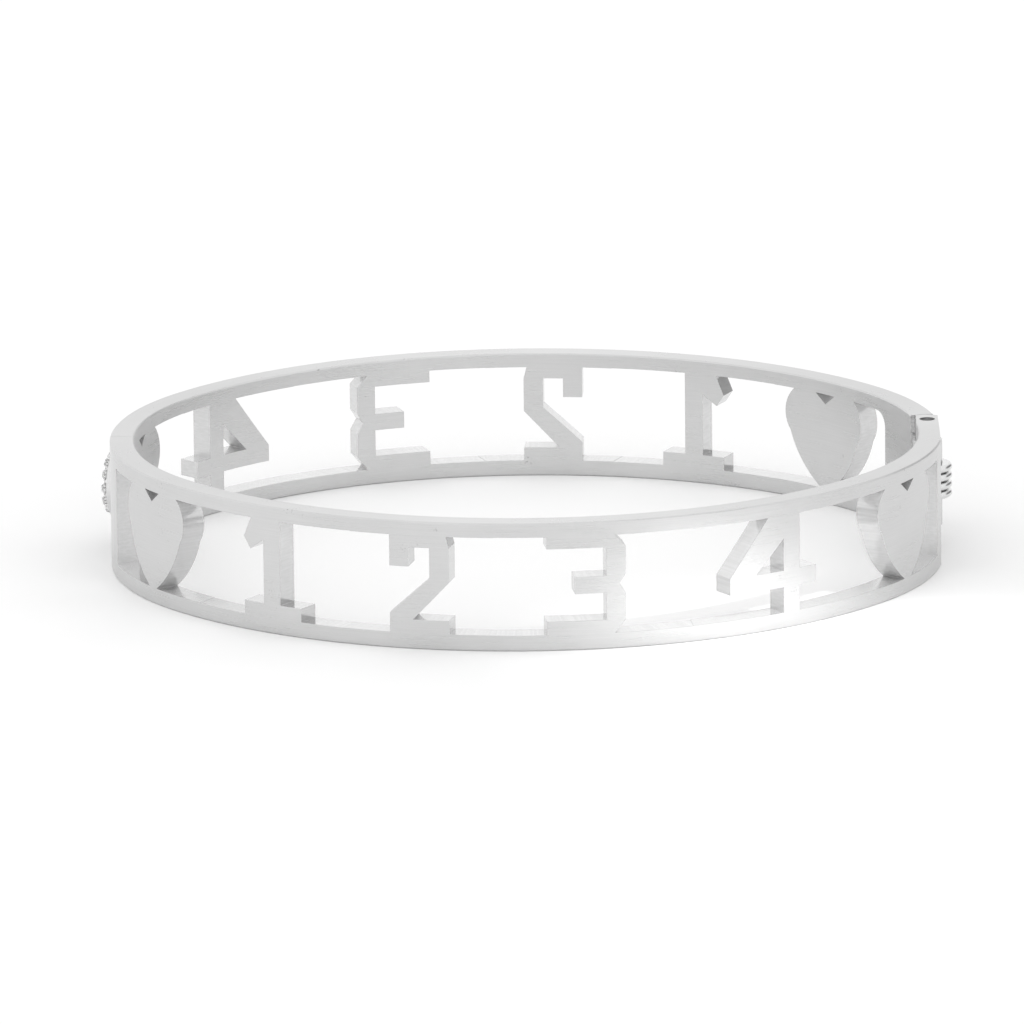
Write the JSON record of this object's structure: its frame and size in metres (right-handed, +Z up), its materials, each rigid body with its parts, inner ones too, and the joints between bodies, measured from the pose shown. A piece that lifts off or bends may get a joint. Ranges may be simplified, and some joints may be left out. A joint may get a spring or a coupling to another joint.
{
  "type": "nameplate bracelet",
  "caption": "Rigid oval openwork hinged bangle with a row of pierced block numerals between hearts on each half and a round crystal dome by the clasp.",
  "frame": {"origin": "middle of the oval, on the plane that the lower rim rests on", "axes": "+X from the clasp to the hinge, -Y to the front half, +Z up along the band's height"},
  "size_m": [0.0656, 0.056, 0.0099],
  "materials": {
    "steel": "satin, brushed along the band",
    "polished_steel": "polished",
    "pin_steel": "satin",
    "crystal": "clear, cut"
  },
  "bodies": {
    "front_half": {"front_band": "steel", "hinge_pin": "pin_steel"},
    "rear_half": {"rear_band": "steel", "rib_grip": "polished_steel", "clasp_tongue": "pin_steel", "crystal_cup": "polished_steel", "crystal_01": "crystal", "crystal_02": "crystal", "crystal_03": "crystal", "crystal_04": "crystal", "crystal_05": "crystal", "crystal_06": "crystal", "crystal_07": "crystal", "crystal_08": "crystal", "crystal_09": "crystal", "crystal_10": "crystal", "crystal_11": "crystal", "crystal_12": "crystal", "crystal_13": "crystal", "crystal_14": "crystal", "crystal_15": "crystal", "crystal_16": "crystal", "crystal_17": "crystal", "crystal_18": "crystal", "crystal_19": "crystal"}
  },
  "joints": [
    {"name": "hinge", "type": "hinge", "parent": "front_half", "child": "rear_half", "pos_m": [0.03092, 0.0034, 0.00495], "axis": [0, 0, -1], "range_deg": [0, 70]}
  ]
}
